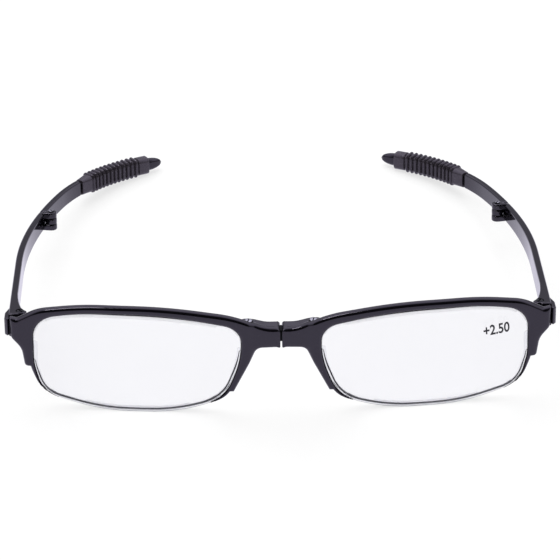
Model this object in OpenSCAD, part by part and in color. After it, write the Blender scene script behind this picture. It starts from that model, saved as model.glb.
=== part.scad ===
// Folding reading glasses, open, standing on the lens edges and the temple tips.
// X runs to the right of the front view, Y runs back along the temples, Z is up.
// Every piece is drawn for the right half in the front view, and the left half is its mirror image.

/* [Lenses] */
// Distance between the two lens openings
nose_w = 19.2; // [17:0.2:22]
// Width of a lens opening
lens_w = 49.5; // [47:0.5:53]
// Height of a lens
lens_h = 28; // [27:0.2:30]
// Radius of the domed front of a lens
lens_r = 150; // [130:5:220]
// Thickness of a lens at its middle
lens_t = 3.4; // [3.2:0.1:4]
// Size of the cord that holds the lower edge of a lens
cord_d = 0.4; // [0.3:0.05:0.5]

/* [Front] */
// Radius of the front's curve, seen from above
front_r = 410; // [350:10:900]
// Height of the rim above a lens
rim_h = 2; // [1.6:0.1:3]
// Depth of the rim
rim_d = 2.1; // [2:0.1:2.6]
// Width of an end piece beyond the lens opening
end_w = 5.1; // [4.8:0.1:6]
// Width of the thin rim tail beside the temple
tail_w = 0.9; // [0.7:0.05:1.2]

/* [Bridge] */
// Height of the lower edge of the bridge above the table
bridge_z = 18.6; // [18.2:0.1:19.6]
// Height of the bridge
bridge_h = 5.2; // [4.8:0.1:5.6]
// Depth of the bridge
bridge_d = 4; // [3.8:0.1:4.6]
// Gap between the two half bridges
bridge_gap = 0.5; // [0.4:0.05:0.8]
// Distance between the two bridge screws
pivot_w = 15.4; // [14.8:0.2:15.8]
// Thickness of the link
link_t = 2.4; // [2:0.1:2.6]
// Width of the link
link_w = 2.5; // [2.3:0.1:2.6]

/* [Temples] */
// Height of the middle of the temple hinge above the table
hinge_z = 21.4; // [20.8:0.1:22.2]
// Height of a temple at its hinge
temple_h = 6; // [5.4:0.1:6.4]
// Height of a temple at its fold
fold_h = 4.2; // [3.8:0.1:4.6]
// Height of the three barrels of the fold hinge
stack_h = 5; // [4.6:0.1:5.4]
// Thickness of a temple
temple_t = 1.7; // [1.5:0.1:2]
// Length of the straight stretch behind the hinge
straight_l = 31; // [28:0.5:36]
// Bend radius of the long curve
long_r = 127; // [120:1:150]
// Bend radius of the curve behind the ear
ear_r = 46; // [43:0.5:52]
// Thickness of the stop tab beside an end piece
tab_t = 1.2; // [1:0.1:1.6]

/* [Grips] */
// Height of a rubber grip
grip_h = 4.6; // [4.2:0.1:5]
// Thickness of a rubber grip
grip_t = 3.5; // [3.2:0.1:4]
// Number of ribs on a grip
ribs = 12; // [8:1:14]
// How far a rib stands out
rib_out = 0.3; // [0.2:0.05:0.4]

/* [Screws] */
// Diameter of a screw's shank
screw_d = 1; // [0.8:0.1:1.1]
// Diameter of a screw's head
head_d = 2.1; // [1.8:0.1:2.2]
// Height of a screw's head
head_h = 0.6; // [0.5:0.1:0.7]
// Diameter of a fold screw's head
fold_head_d = 1.6; // [1.4:0.1:1.8]

/* [Hidden] */
$fn = 48;

// Clearances: a seat, a running pin, a gap beside a moving face
seat = 0.03;
run = 0.04;
gap = 0.15;
// Extra length that takes a cut past a face
past = 1;
// Half the height of the space that holds the whole part
tall = 60;

// Lens opening, from the middle of the glasses outwards
nasal_x = nose_w / 2;
temporal_x = nasal_x + lens_w;
lens_x = nasal_x + lens_w / 2;
end_x = temporal_x + end_w;
butt_x = bridge_gap / 2;

// Runs and drops of the lens corners, measured from the lens box
crown_run = 17.5;
shoulder_run = 12;
nasal_drop = 3.7;
temporal_drop = 2.4;
cheek_z = 15.3;
cheek_run = 4.15;
cheek_foot_z = 3.6;
side_z = 10;
side_run = 2;
side_foot_z = 3.9;
flat_run = 16;
crown_nasal_round = 100;
crown_temporal_round = 60;
foot_round = 45;

// Ends of the thick rim, above the table
step_temporal_z = 11.8;
step_nasal_z = 6.5;
rim_side_w = 2.1;

// Bridge and its link
bridge_top = bridge_z + bridge_h;
bridge_set_back = 0.6;
bridge_run = 6.2;
ramp_run = 1.6;
pivot_x = pivot_w / 2;
slot_wall = 0.9;
pivot_y = bridge_set_back + slot_wall + gap / 3 + link_w / 2;
link_z = bridge_z + bridge_h / 2 - 0.1;
bridge_back = bridge_set_back + bridge_d;
bridge_tail = nasal_x + 1.5;
bridge_head_z = bridge_top + 1;

// Groove in the rim, and the tongue of the lens that sits in it
groove_y = 0.9;
groove_t = 0.7;
groove_depth = 0.5;
tongue_from_z = bridge_z;
cord_y = groove_y + groove_t / 2;
cord_in = 0.35;
lens_bulge = 0.45;
face_form = asin(lens_x / front_r);
cord_nasal_z = 17.2;
cord_temporal_z = 11.2;

// Middle of the end piece, a little above the hinge
end_z = hinge_z + 0.5;

// Temple hinge, at the inner side of the temple
knuckle_r = 1.5;
knuckle_h = 2.2;
hinge_x = temporal_x + 2.8;
end_back = front_y(end_x) + rim_d;
hinge_y = end_back + 2.4;
temple_x = hinge_x + 1.9;
butt_back = 2;
flare_l = 10;
tab_l = 1.8;
tab_x = end_x + 0.2;
tab_h = 4.4;

// Bends of a temple: at the fold, at the end of the long curve, along the grip and at the tip
fold_bend = 15;
long_bend = 21;
grip_bend_front = 33;
grip_bend_back = 63;
nose_l = 4.2;
nose_round = 1.1;
nose_side_round = 1.6;
nose_h = 3.8;
nose_t = 2.5;
core_t = 1.5;
core_h = 2.6;

// Middle of the long curve and of the ear curve, measured from the hinge pin
long_mid = [temple_x - hinge_x - long_r, straight_l];
ear_mid = long_mid + (long_r - ear_r) * [cos(long_bend), sin(long_bend)];
nose_from = ear_mid + ear_r * [cos(grip_bend_back), sin(grip_bend_back)];
grip_round = 1.2;
mouth_t = temple_t + 0.6;
mouth_h = grip_h - 0.5;
// Lowest place of a grip; the temples slope down until it touches the table
low_y = ear_mid[1] + (ear_r + grip_t / 2 - grip_round) * sin(grip_bend_back);
slope = asin(hinge_z / norm([low_y, grip_h / 2])) - atan(grip_h / 2 / low_y);
// Middle of the fold and its pin, which stands inside the temple
fold_mid = long_mid + long_r * [cos(fold_bend), sin(fold_bend)];
fold_r = 1.4;
fold_in = temple_t / 2 + fold_r + 0.1;
fold_pin = fold_mid - fold_in * [cos(fold_bend), sin(fold_bend)];
fold_split = 0.3;
leaf_l = 3.4;
leaf_t = 0.6;
barrel_h = stack_h / 3 - 0.1;

// Middle of the part from front to back
nose_reach = nose_round + (nose_t / 2 - nose_round) * sin(grip_bend_back)
    + (nose_l - nose_round) * cos(grip_bend_back);
nose_round_l = nose_side_round - nose_round * (1 - cos(grip_bend_back));
nose_rise = nose_h / 2 - nose_side_round + sqrt(pow(nose_side_round, 2) - pow(nose_round_l, 2));
back_y = hinge_y + (nose_from[1] + nose_reach) * cos(slope) + nose_rise * sin(slope);
mid_y = (front_y(bridge_run + ramp_run) + back_y) / 2;

plastic = [0.03, 0.03, 0.035];
rubber = [0.07, 0.07, 0.075];
clear = [0.85, 0.9, 0.92, 0.35];
nylon = [0.15, 0.15, 0.17];
steel = [0.3, 0.3, 0.32];

// Depth of the front's curve at a distance from the middle
function front_y(x) = front_r - sqrt(front_r * front_r - x * x);

function unit(v) = v / norm(v);
function flat(p) = [p[0], p[1]];

// Points of one corner [x, z, radius] between its neighbours; a round takes less than half an edge
function corner(p, q, s, n) =
    let (
        a = unit(flat(p) - flat(q)),
        b = unit(flat(s) - flat(q)),
        half = acos(a * b) / 2,
        room = 0.49 * min(norm(flat(p) - flat(q)), norm(flat(s) - flat(q))) * tan(half),
        r = min(q[2], room),
        mid = flat(q) + unit(a + b) * r / sin(half),
        first = flat(q) + a * r / tan(half) - mid,
        from = atan2(first[1], first[0]),
        turn = (a[0] * b[1] - a[1] * b[0] > 0 ? -1 : 1) * (180 - 2 * half)
    )
    r == 0
        ? [flat(q)]
        : [for (i = [0:n]) mid + r * [cos(from + turn * i / n), sin(from + turn * i / n)]];

// Outline with a round at each corner
function rounded(p, n = 5) =
    [for (i = [0:len(p) - 1]) each corner(p[(i + len(p) - 1) % len(p)], p[i], p[(i + 1) % len(p)], n)];

// Outline moved out by d, along its normals
function grown(p, d) =
    [for (i = [0:len(p) - 1])
        let (t = unit(p[(i + 1) % len(p)] - p[(i + len(p) - 1) % len(p)]))
        p[i] + d * [-t[1], t[0]]];

// Corners of a lens, clockwise from the upper inner one
lens_outline = rounded([
    [nasal_x, lens_h - nasal_drop, 5],
    [nasal_x + crown_run, lens_h, crown_nasal_round],
    [temporal_x - shoulder_run, lens_h, crown_temporal_round],
    [temporal_x - 0.5, lens_h - temporal_drop, 6.5],
    [temporal_x - 0.1, side_z, 12],
    [temporal_x - side_run, side_foot_z, 6],
    [temporal_x - flat_run, 0, foot_round],
    [nasal_x + flat_run, 0, foot_round],
    [nasal_x + cheek_run, cheek_foot_z, 7],
    [nasal_x, cheek_z, 25]
]);

// Corners of half the front, clockwise from the top of the bridge; its lower side runs behind the lens
front_outline = rounded([
    [butt_x, bridge_top, 0.5],
    [pivot_x / 2, bridge_top + 0.2, 15],
    [nasal_x + 1.5, lens_h - 0.5, 34],
    [nasal_x + crown_run, lens_h + rim_h, crown_nasal_round],
    [temporal_x - shoulder_run, lens_h + rim_h, crown_temporal_round],
    [temporal_x - 1.5, lens_h + 0.2, 12],
    [end_x - 1.6, end_z + 3.2, 1],
    [end_x, end_z + 3.5, 0.3],
    [end_x, end_z - 2, 2],
    [temporal_x + 2.7, end_z - 5, 5],
    [temporal_x + rim_side_w, step_temporal_z, 0.9],
    [temporal_x - 8, step_temporal_z, 0],
    [nasal_x + 8, step_nasal_z, 0],
    [nasal_x + rim_side_w, step_nasal_z, 0.3],
    [pivot_x - 2, bridge_z - 0.2, 2],
    [butt_x, bridge_z, 0.4]
]);

// Front and back of half the front, seen from above
front_steps = 20;
front_curve = [for (i = [0:front_steps])
    let (x = bridge_run + ramp_run + (end_x - bridge_run - ramp_run) * i / front_steps) [x, front_y(x)]];
bridge_face = rounded([
    [butt_x, bridge_back, 0.8],
    [butt_x, bridge_set_back, 0.3],
    [bridge_run, bridge_set_back, 0.8],
    [bridge_run + 0.8 * ramp_run, front_y(bridge_run), 0],
    [bridge_tail, bridge_back, 0]
]);
plan_outline = concat(
    [[butt_x, bridge_set_back + rim_d], [butt_x, bridge_set_back], [bridge_run, bridge_set_back]],
    front_curve,
    [for (i = [front_steps:-1:0]) front_curve[i] + [0, rim_d]],
    [[bridge_run, bridge_set_back + rim_d]]
);

// Half bridge in the front view: as deep as the link needs, below the screw head
bridge_outline = [
    [0, bridge_z - 5], [0, bridge_top], [pivot_x / 2, bridge_top], [pivot_x - 2, bridge_head_z],
    [bridge_tail, bridge_head_z], [bridge_tail, bridge_z - 5]
];

// Point of the temple's line at a bend, measured from the hinge pin
function temple_point(bend, out) = bend < long_bend
    ? long_mid + (long_r + out) * [cos(bend), sin(bend)]
    : ear_mid + (ear_r + out) * [cos(bend), sin(bend)];

// Band along the temple between two bends, seen from above
function band(from, to, w) =
    let (steps = max(2, ceil((to - from) / 2)))
    concat(
        [for (i = [0:steps]) temple_point(from + (to - from) * i / steps, w / 2)],
        [for (i = [steps:-1:0]) temple_point(from + (to - from) * i / steps, -w / 2)]
    );

// Shape drawn in the front view, from y0 to y1
module from_front(y0, y1) {
    translate([0, y1, 0])
        rotate([90, 0, 0])
            linear_extrude(y1 - y0) children();
}

// Shape drawn from above, through the whole height
module from_above(z0 = -past, z1 = tall) {
    translate([0, 0, z0])
        linear_extrude(z1 - z0) children();
}

// Moves a piece from the hinge pin's frame to its place
module at_hinge() {
    translate([hinge_x, hinge_y, hinge_z])
        rotate([-slope, 0, 0]) children();
}

// Puts the middle of the part over the origin, mirrored for the left half
module place(left = false) {
    mirror([left ? 1 : 0, 0, 0])
        translate([0, -mid_y, 0]) children();
}

// Layer of the front between two depths behind its face
module front_layer(d0, d1) {
    xs = [for (i = [0:front_steps]) (end_x + past) * i / front_steps];
    from_above()
        polygon(concat(
            [for (x = xs) [x, front_y(x) + d0]],
            [for (i = [front_steps:-1:0]) [xs[i], front_y(xs[i]) + d1]]
        ));
}

// Thin tail of the rim, which tapers out along the lens
module tail(shift, x0, x1, top) {
    intersection() {
        translate(shift) polygon(lens_outline);
        translate([x0, -past]) square([x1 - x0, top + past + 0.2]);
    }
}

module front_shape() {
    difference() {
        union() {
            polygon(front_outline);
            tail([tail_w, 0.2], temporal_x - 5.6, end_x, step_temporal_z);
            tail([-1.2 * tail_w, 0.28], 0, nasal_x + 7.6, step_nasal_z);
        }
        polygon(grown(lens_outline, 2 * seat));
    }
}

// Screw with a slotted head, from its tip at z0 to the seat of its head
module screw(z0, z1, head = head_d) {
    difference() {
        union() {
            translate([0, 0, z0]) cylinder(d = screw_d, h = z1 - z0);
            translate([0, 0, z1]) cylinder(d = head, h = head_h);
        }
        translate([-head, -0.15, z1 + head_h / 2]) cube([2 * head, 0.3, head_h]);
    }
}

// Hole for a screw, with a seat for its head
module screw_hole(z0, z1) {
    translate([0, 0, z0 - seat]) cylinder(d = screw_d + 2 * seat, h = z1 - z0 + past);
    translate([0, 0, z1 - seat]) cylinder(d = head_d + 4 * seat, h = tall);
}

// Half the front: upper rim, half bridge, end piece and hinge lug
module front_frame() {
    difference() {
        union() {
            intersection() {
                from_front(-past, tall) front_shape();
                from_above() polygon(plan_outline);
            }
            intersection() {
                from_front(-past, tall)
                    intersection() {
                        front_shape();
                        polygon(bridge_outline);
                    }
                from_above() polygon(bridge_face);
            }
            hinge_lug();
        }
        lens_groove();
        link_slot();
        translate([pivot_x, pivot_y, 0]) screw_hole(bridge_z - past, bridge_head_z);
        at_hinge() cylinder(d = screw_d + 2 * run, h = tall, center = true);
    }
}

// Lug between the two knuckles of the temple
module hinge_lug() {
    at_hinge() {
        cylinder(r = knuckle_r, h = knuckle_h, center = true);
        translate([-knuckle_r, end_back - hinge_y - past, -knuckle_h / 2])
            cube([2 * knuckle_r, hinge_y - end_back + past, knuckle_h]);
    }
}

module lens_groove() {
    intersection() {
        from_front(-past, tall) polygon(grown(lens_outline, groove_depth));
        front_layer(groove_y, groove_y + groove_t);
        translate([0, -past, tongue_from_z]) cube([tall * 2, tall, tall]);
    }
}

// Slot for the link, open to the middle and to the back
module link_slot() {
    slot_r = link_w / 2 + gap / 3;
    translate([0, 0, link_z - link_t / 2 - gap / 3])
        linear_extrude(link_t + 2 * gap / 3) {
            translate([pivot_x, pivot_y]) circle(slot_r);
            translate([-past, pivot_y - slot_r]) square([pivot_x + past, tall]);
            translate([pivot_x - past, pivot_y]) square([slot_r + past, tall]);
        }
}

// Lens: domed front, flat back, tongue in the upper rim and groove for the cord
module lens() {
    difference() {
        union() {
            intersection() {
                from_front(-past, tall) polygon(lens_outline);
                lens_axis() {
                    intersection() {
                        translate([0, lens_r - lens_bulge, 0]) sphere(lens_r, $fn = 360);
                        translate([-tall, -tall, -tall])
                            cube([2 * tall, tall + lens_t - lens_bulge, 2 * tall]);
                    }
                }
            }
            intersection() {
                from_front(-past, tall) polygon(grown(lens_outline, groove_depth - 2 * seat));
                front_layer(groove_y + seat, groove_y + groove_t - seat);
                translate([0, -past, tongue_from_z + seat]) cube([tall * 2, tall, tall]);
            }
        }
        cord_ring(seat);
    }
}

// Puts the middle of a lens at its place on the front's curve
module lens_axis() {
    translate([lens_x, front_y(lens_x), lens_h / 2])
        rotate([0, 0, face_form]) children();
}

// Band that the cord fills, along the lower edge of the lens
module cord_ring(ease) {
    intersection() {
        from_front(-past, tall)
            difference() {
                polygon(grown(lens_outline, ease > 0 ? past : -cord_in));
                polygon(grown(lens_outline, -cord_in - cord_d - ease));
            }
        front_layer(cord_y - cord_d / 2 - ease, cord_y + cord_d / 2 + ease);
        from_front(-past, tall)
            polygon([
                [0, -past], [end_x, -past], [end_x, cord_temporal_z + ease],
                [lens_x, cord_temporal_z + ease], [lens_x, cord_nasal_z + ease], [0, cord_nasal_z + ease]
            ]);
    }
}

// Link between the two half bridges, with a bore for each screw
module link() {
    translate([0, 0, link_z - link_t / 2])
        linear_extrude(link_t)
            difference() {
                union() {
                    for (side = [-1, 1]) translate([side * pivot_x, pivot_y]) circle(d = link_w);
                    translate([-pivot_x, pivot_y - link_w / 2]) square([pivot_w, link_w]);
                }
                for (side = [-1, 1]) translate([side * pivot_x, pivot_y]) circle(d = screw_d + 2 * run);
            }
}

module bridge_screw() {
    translate([pivot_x, pivot_y, 0]) screw(bridge_z - past / 2, bridge_head_z);
}

// Height of the temple as seen from the side: it tapers from the hinge to the grip
module temple_side() {
    grip_y = temple_point(grip_bend_front, 0)[1];
    fold_y = fold_mid[1];
    front_y0 = -hinge_y;
    rear_h = fold_h - (temple_h - fold_h) * (grip_y - fold_y) / (fold_y - flare_l) / 3;
    rotate([90, 0, 90])
        linear_extrude(4 * tall, center = true)
            polygon([
                [front_y0, -temple_h / 2], [flare_l, -temple_h / 2], [fold_y, -fold_h / 2],
                [grip_y, -rear_h / 2], [grip_y + past, -rear_h / 2],
                [grip_y + past, rear_h / 2], [grip_y, rear_h / 2],
                [fold_y, fold_h / 2], [flare_l, temple_h / 2], [front_y0, temple_h / 2]
            ]);
}

// Hinge end of the temple, seen from above: a round knuckle, a flare and the butt face
module temple_root_shape() {
    inner_x = temple_x - hinge_x - temple_t / 2;
    outer_x = inner_x + temple_t;
    butt = -butt_back;
    circle(knuckle_r);
    polygon([
        [0.2, butt], [outer_x, butt], [outer_x, flare_l + past], [inner_x, flare_l + past],
        [inner_x - 0.05, flare_l], [inner_x - 0.4, 0.6 * flare_l], [-0.2, 0.2 * flare_l], [-knuckle_r, 0]
    ]);
}

// Stop tab that reaches forward past the outer side of the end piece
module temple_tab() {
    from = -butt_back - tab_l;
    x0 = tab_x - hinge_x;
    outer_x = temple_x - hinge_x + temple_t / 2;
    translate([0, 0, temple_h / 2 - 0.4 - tab_h])
        linear_extrude(tab_h)
            polygon([
                [x0, from + 0.5], [x0 + 0.4, from], [x0 + tab_t - 0.6, from], [x0 + tab_t, from + 0.8],
                [x0 + tab_t, 0], [outer_x, 3], [x0, 3]
            ]);
}

// Front part of a temple: hinge knuckles, flare, straight stretch and the first part of the curve
module temple_front() {
    split = asin(fold_split / 2 / long_r);
    at_hinge()
        difference() {
            union() {
                intersection() {
                    union() {
                        from_above(-tall) temple_root_shape();
                        from_above(-tall)
                            translate([temple_x - hinge_x - temple_t / 2, flare_l])
                                square([temple_t, straight_l - flare_l]);
                        from_above(-tall) polygon(band(0, fold_bend - split, temple_t));
                    }
                    temple_side();
                }
                temple_tab();
            }
            lug_space();
            screw_hole(-temple_h / 2 + 0.5, temple_h / 2 - head_h);
            fold_frame() leaf_plate(false, seat);
        }
}

// Room for the hinge lug, open to the front and to the inside so that the temple can close
module lug_space() {
    room = knuckle_r + gap;
    h = knuckle_h + gap;
    cylinder(r = room, h = h, center = true);
    translate([-tall, -tall, -h / 2]) cube([tall + room, tall, h]);
    translate([-tall, -tall, -h / 2]) cube([tall, tall + room, h]);
}

module hinge_screw() {
    at_hinge() screw(-temple_h / 2 + 0.5 + seat, temple_h / 2 - head_h);
}

// Frame of the fold: X points out of the temple, Y points back along it, Z is the pin
module fold_frame() {
    translate([fold_pin[0], fold_pin[1], 0])
        rotate([0, 0, fold_bend]) children();
}

module at_fold() {
    at_hinge()
        fold_frame() children();
}

// Distance from the fold pin to the inner face of the temple
fold_face = fold_in - temple_t / 2;

// Plate of a leaf, let flush into the inner face of the temple
module leaf_plate(back, ease = 0) {
    y0 = back ? fold_split / 2 : -fold_split / 2 - leaf_l;
    translate([fold_face - (ease > 0 ? past : 0), y0 - ease, -fold_h / 2 + 0.1 - ease])
        cube([leaf_t + ease + (ease > 0 ? past : 0), leaf_l + 2 * ease, fold_h - 0.2 + 2 * ease]);
}

// Barrel of a leaf from z0 to z1, with the web that joins it to the plate
module leaf_barrel(back, z0, z1, bore) {
    plate_z = fold_h / 2 - 0.1;
    difference() {
        union() {
            from_above(z0, z1) circle(fold_r);
            from_above(max(z0, -plate_z), min(z1, plate_z))
                translate([0, back ? fold_split / 2 : -fold_r])
                    square([fold_face + leaf_t / 2, fold_r - fold_split / 2]);
        }
        from_above(z0 - past, z1 + past) circle(d = bore);
    }
}

// Front leaf: an upper and a lower barrel on one plate
module fold_front_leaf() {
    barrel_from = barrel_h / 2 + gap / 3;
    barrel_to = stack_h / 2 - 0.1;
    bore = screw_d + 2 * seat;
    at_fold()
        difference() {
            union() {
                leaf_plate(false);
                leaf_barrel(false, barrel_from, barrel_to, bore);
                leaf_barrel(false, -barrel_to, -barrel_from, bore);
            }
            translate([0, 0, barrel_to - head_h / 2]) cylinder(d = fold_head_d + 4 * seat, h = past);
        }
}

// Rear leaf: one barrel between the other two
module fold_rear_leaf() {
    at_fold() {
        leaf_plate(true);
        leaf_barrel(true, -barrel_h / 2, barrel_h / 2, screw_d + 2 * run);
    }
}

module fold_screw() {
    at_fold() screw(-stack_h / 2 + 0.1, stack_h / 2 - 0.1 - head_h / 2 + seat, fold_head_d);
}

// Rear part of a temple: blade, core under the grip and the bare nose
module temple_rear() {
    split = asin(fold_split / 2 / long_r);
    at_hinge()
        difference() {
            union() {
                intersection() {
                    union() {
                        from_above(-tall) polygon(band(fold_bend + split, long_bend, temple_t));
                        from_above(-tall) polygon(band(long_bend, grip_bend_front, temple_t));
                    }
                    temple_side();
                }
                from_above(-core_h / 2, core_h / 2)
                    polygon(band(grip_bend_front - 1, grip_bend_back + 0.6, core_t));
                nose();
            }
            fold_frame() leaf_plate(true, seat);
        }
}

// Bare nose of the core behind the grip, rounded from above and from the side
module nose() {
    translate([nose_from[0], nose_from[1], 0])
        rotate([0, 0, grip_bend_back])
            intersection() {
                from_above(-tall)
                    polygon(rounded([
                        [-nose_t / 2, seat, 0], [nose_t / 2, seat, 0],
                        [nose_t / 2, nose_l, nose_round], [-nose_t / 2, nose_l, nose_round]
                    ]));
                rotate([90, 0, 90])
                    linear_extrude(tall, center = true)
                        polygon(rounded([
                            [seat, -nose_h / 2, 0], [nose_l, -nose_h / 2, nose_side_round],
                            [nose_l, nose_h / 2, nose_side_round], [seat, nose_h / 2, 0]
                        ]));
            }
}

// Section of the grip at a width and a height
module grip_section(w, h) {
    r = min(grip_round, w / 3);
    polygon(rounded([[-w / 2, -h / 2, r], [w / 2, -h / 2, r], [w / 2, h / 2, r], [-w / 2, h / 2, r]], 3));
}

// Stretch of the grip between two bends, swept round the ear curve
module grip_stretch(from, to, w, h) {
    translate([ear_mid[0], ear_mid[1], 0])
        rotate([0, 0, from])
            rotate_extrude(angle = to - from)
                translate([ear_r, 0]) grip_section(w, h);
}

// Rubber grip: a tube with a collar that widens from the temple, a row of ribs and a plain end
module grip_sleeve() {
    mouth = grip_bend_front + 0.1;
    collar = grip_bend_front + 4.5;
    thin = 0.2;
    pitch = (grip_bend_back - 4 - collar) / ribs;
    at_hinge()
        difference() {
            union() {
                hull() {
                    grip_stretch(mouth, mouth + thin, mouth_t, mouth_h);
                    grip_stretch(collar - thin, collar, grip_t, grip_h);
                }
                grip_stretch(collar - thin, grip_bend_back, grip_t, grip_h);
                for (i = [0:ribs - 1])
                    grip_stretch(
                        collar + i * pitch, collar + (i + 0.55) * pitch, grip_t + 2 * rib_out, grip_h + 2 * rib_out);
            }
            from_above(-core_h / 2 - seat, core_h / 2 + seat)
                polygon(band(grip_bend_front - 1, grip_bend_back + 2, core_t + 2 * seat));
        }
}

module bridge_link() { color(steel) place() link(); }
module left_front_frame() { color(plastic) place(true) front_frame(); }
module right_front_frame() { color(plastic) place() front_frame(); }
module left_lens() { color(clear) place(true) lens(); }
module right_lens() { color(clear) place() lens(); }
module left_lens_cord() { color(nylon) place(true) cord_ring(0); }
module right_lens_cord() { color(nylon) place() cord_ring(0); }
module left_bridge_screw() { color(steel) place(true) bridge_screw(); }
module right_bridge_screw() { color(steel) place() bridge_screw(); }
module left_temple_front() { color(plastic) place(true) temple_front(); }
module right_temple_front() { color(plastic) place() temple_front(); }
module left_hinge_screw() { color(steel) place(true) hinge_screw(); }
module right_hinge_screw() { color(steel) place() hinge_screw(); }
module left_fold_hinge_front_leaf() { color(steel) place(true) fold_front_leaf(); }
module right_fold_hinge_front_leaf() { color(steel) place() fold_front_leaf(); }
module left_fold_hinge_rear_leaf() { color(steel) place(true) fold_rear_leaf(); }
module right_fold_hinge_rear_leaf() { color(steel) place() fold_rear_leaf(); }
module left_fold_screw() { color(steel) place(true) fold_screw(); }
module right_fold_screw() { color(steel) place() fold_screw(); }
module left_temple_rear() { color(plastic) place(true) temple_rear(); }
module right_temple_rear() { color(plastic) place() temple_rear(); }
module left_grip_sleeve() { color(rubber) place(true) grip_sleeve(); }
module right_grip_sleeve() { color(rubber) place() grip_sleeve(); }

bridge_link();
left_front_frame();
right_front_frame();
left_lens();
right_lens();
left_lens_cord();
right_lens_cord();
left_bridge_screw();
right_bridge_screw();
left_temple_front();
right_temple_front();
left_hinge_screw();
right_hinge_screw();
left_fold_hinge_front_leaf();
right_fold_hinge_front_leaf();
left_fold_hinge_rear_leaf();
right_fold_hinge_rear_leaf();
left_fold_screw();
right_fold_screw();
left_temple_rear();
right_temple_rear();
left_grip_sleeve();
right_grip_sleeve();
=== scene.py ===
import math

import bmesh
import bpy
import numpy
from mathutils import Matrix, Vector
from mathutils.geometry import convex_hull_2d, delaunay_2d_cdt


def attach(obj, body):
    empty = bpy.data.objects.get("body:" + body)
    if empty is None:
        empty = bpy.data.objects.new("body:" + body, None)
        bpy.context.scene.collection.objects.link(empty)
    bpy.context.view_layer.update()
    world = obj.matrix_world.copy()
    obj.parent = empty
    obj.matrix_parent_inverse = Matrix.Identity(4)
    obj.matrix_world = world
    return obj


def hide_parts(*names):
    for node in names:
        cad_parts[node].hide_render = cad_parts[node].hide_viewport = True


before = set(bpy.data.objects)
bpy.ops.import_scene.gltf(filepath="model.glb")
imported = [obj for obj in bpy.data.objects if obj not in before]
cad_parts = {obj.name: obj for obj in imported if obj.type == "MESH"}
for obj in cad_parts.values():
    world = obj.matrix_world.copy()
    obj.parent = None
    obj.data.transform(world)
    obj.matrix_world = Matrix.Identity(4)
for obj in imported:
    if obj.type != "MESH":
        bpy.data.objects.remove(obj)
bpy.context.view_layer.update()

mm = 0.001
sides = {"left": -1, "right": 1}

# Lengths are in mm, with X from the middle of the glasses, Y from the face of the bridge, Z from the table
middleY = 55.8597  # the middle of the part, behind the face of the bridge
lensSize = {"nasal": 9.6, "temporal": 59.1, "top": 28.0, "dome": 150.0, "bulge": 0.45, "thick": 3.4}
frontSize = {"curve": 410.0, "deep": 2.1, "end": 64.2, "endZ": 21.9, "bridgeZ": 18.6, "bridgeTop": 23.8}
pivotSize = {"x": 7.7, "y": 2.8, "headZ": 24.8, "linkZ": 21.1}
hingeSize = {"x": 61.9, "y": 9.5576, "z": 21.4, "slope": math.radians(10.8697)}
templeSize = {"inner": 1.05, "outer": 2.75, "straight": 31.0, "long": 127.0, "ear": 46.0, "thick": 1.7}
bends = {"fold": 15.0, "long": 21.0, "gripFrom": 33.0, "gripTo": 63.0}


# Camera at the photograph's angle

cameraSize = {"at": (-12.79, -621.59, 464.88), "along": (0.01671, 0.8246, -0.56547), "roll": -0.494,
              "lens": 207.75, "sensor": 36.0, "nearest": 10.0}


def place(x, y, z):
    return Vector((x * mm, (y - middleY) * mm, z * mm))


def addCamera(size):
    data = bpy.data.cameras.new("camera")
    data.lens = size["lens"]
    data.sensor_width = size["sensor"]
    data.sensor_fit = "HORIZONTAL"
    data.clip_start = size["nearest"] * mm
    camera = bpy.data.objects.new("camera", data)
    bpy.context.scene.collection.objects.link(camera)
    turn = Vector(size["along"]).to_track_quat("-Z", "Y").to_matrix().to_4x4()
    roll = Matrix.Rotation(math.radians(size["roll"]), 4, "Z")
    camera.matrix_world = Matrix.Translation(place(*size["at"])) @ turn @ roll
    bpy.context.scene.camera = camera


addCamera(cameraSize)
print("camera placed")


# Materials

noise = {"cloudDetail": 3.0, "grainDetail": 2.0, "low": 0.3, "high": 0.7}


def colour(text):
    # sRGB hex to the linear values of a socket
    parts = [int(text[i:i + 2], 16) / 255 for i in (1, 3, 5)]
    linear = [c / 12.92 if c <= 0.04045 else ((c + 0.055) / 1.055) ** 2.4 for c in parts]
    return (*linear, 1.0)


def addNode(tree, kind, settings=None, inputs=None):
    node = tree.nodes.new(kind)
    for name, value in (settings or {}).items():
        setattr(node, name, value)
    for name, value in (inputs or {}).items():
        if isinstance(value, bpy.types.NodeSocket):
            tree.links.new(value, node.inputs[name])
        else:
            node.inputs[name].default_value = value
    return node


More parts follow.
